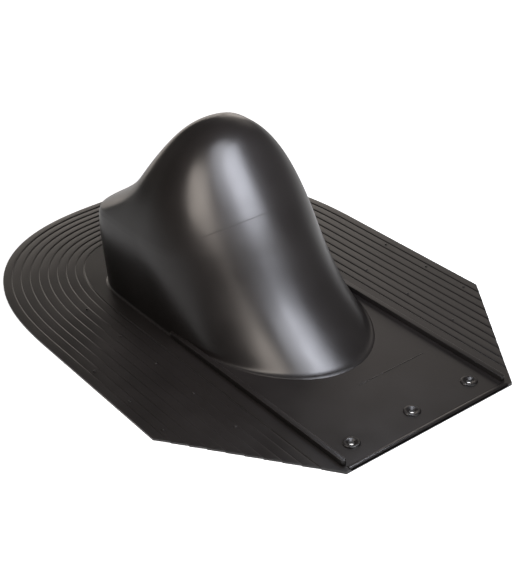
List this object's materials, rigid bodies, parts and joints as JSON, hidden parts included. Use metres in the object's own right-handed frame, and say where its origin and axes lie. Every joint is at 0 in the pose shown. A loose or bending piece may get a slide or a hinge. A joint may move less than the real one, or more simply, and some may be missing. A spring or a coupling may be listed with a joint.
{
  "type": "pipe flashing boot",
  "caption": "Moulded roof flashing: thin ribbed flange with a leaning hollow hood whose rear sleeve takes a pipe, and three fixing holes in the front panel.",
  "frame": {"origin": "centre of the overall plan, in the plane of the flange's underside", "axes": "+Z away from the roof, +Y up the slope towards the rounded end, +X across"},
  "size_m": [0.4, 0.573, 0.198],
  "materials": {
    "moulded_plastic": "black moulded plastic with a soft satin gloss"
  },
  "bodies": {
    "root": {"flashing_boot": "moulded_plastic"}
  },
  "joints": []
}
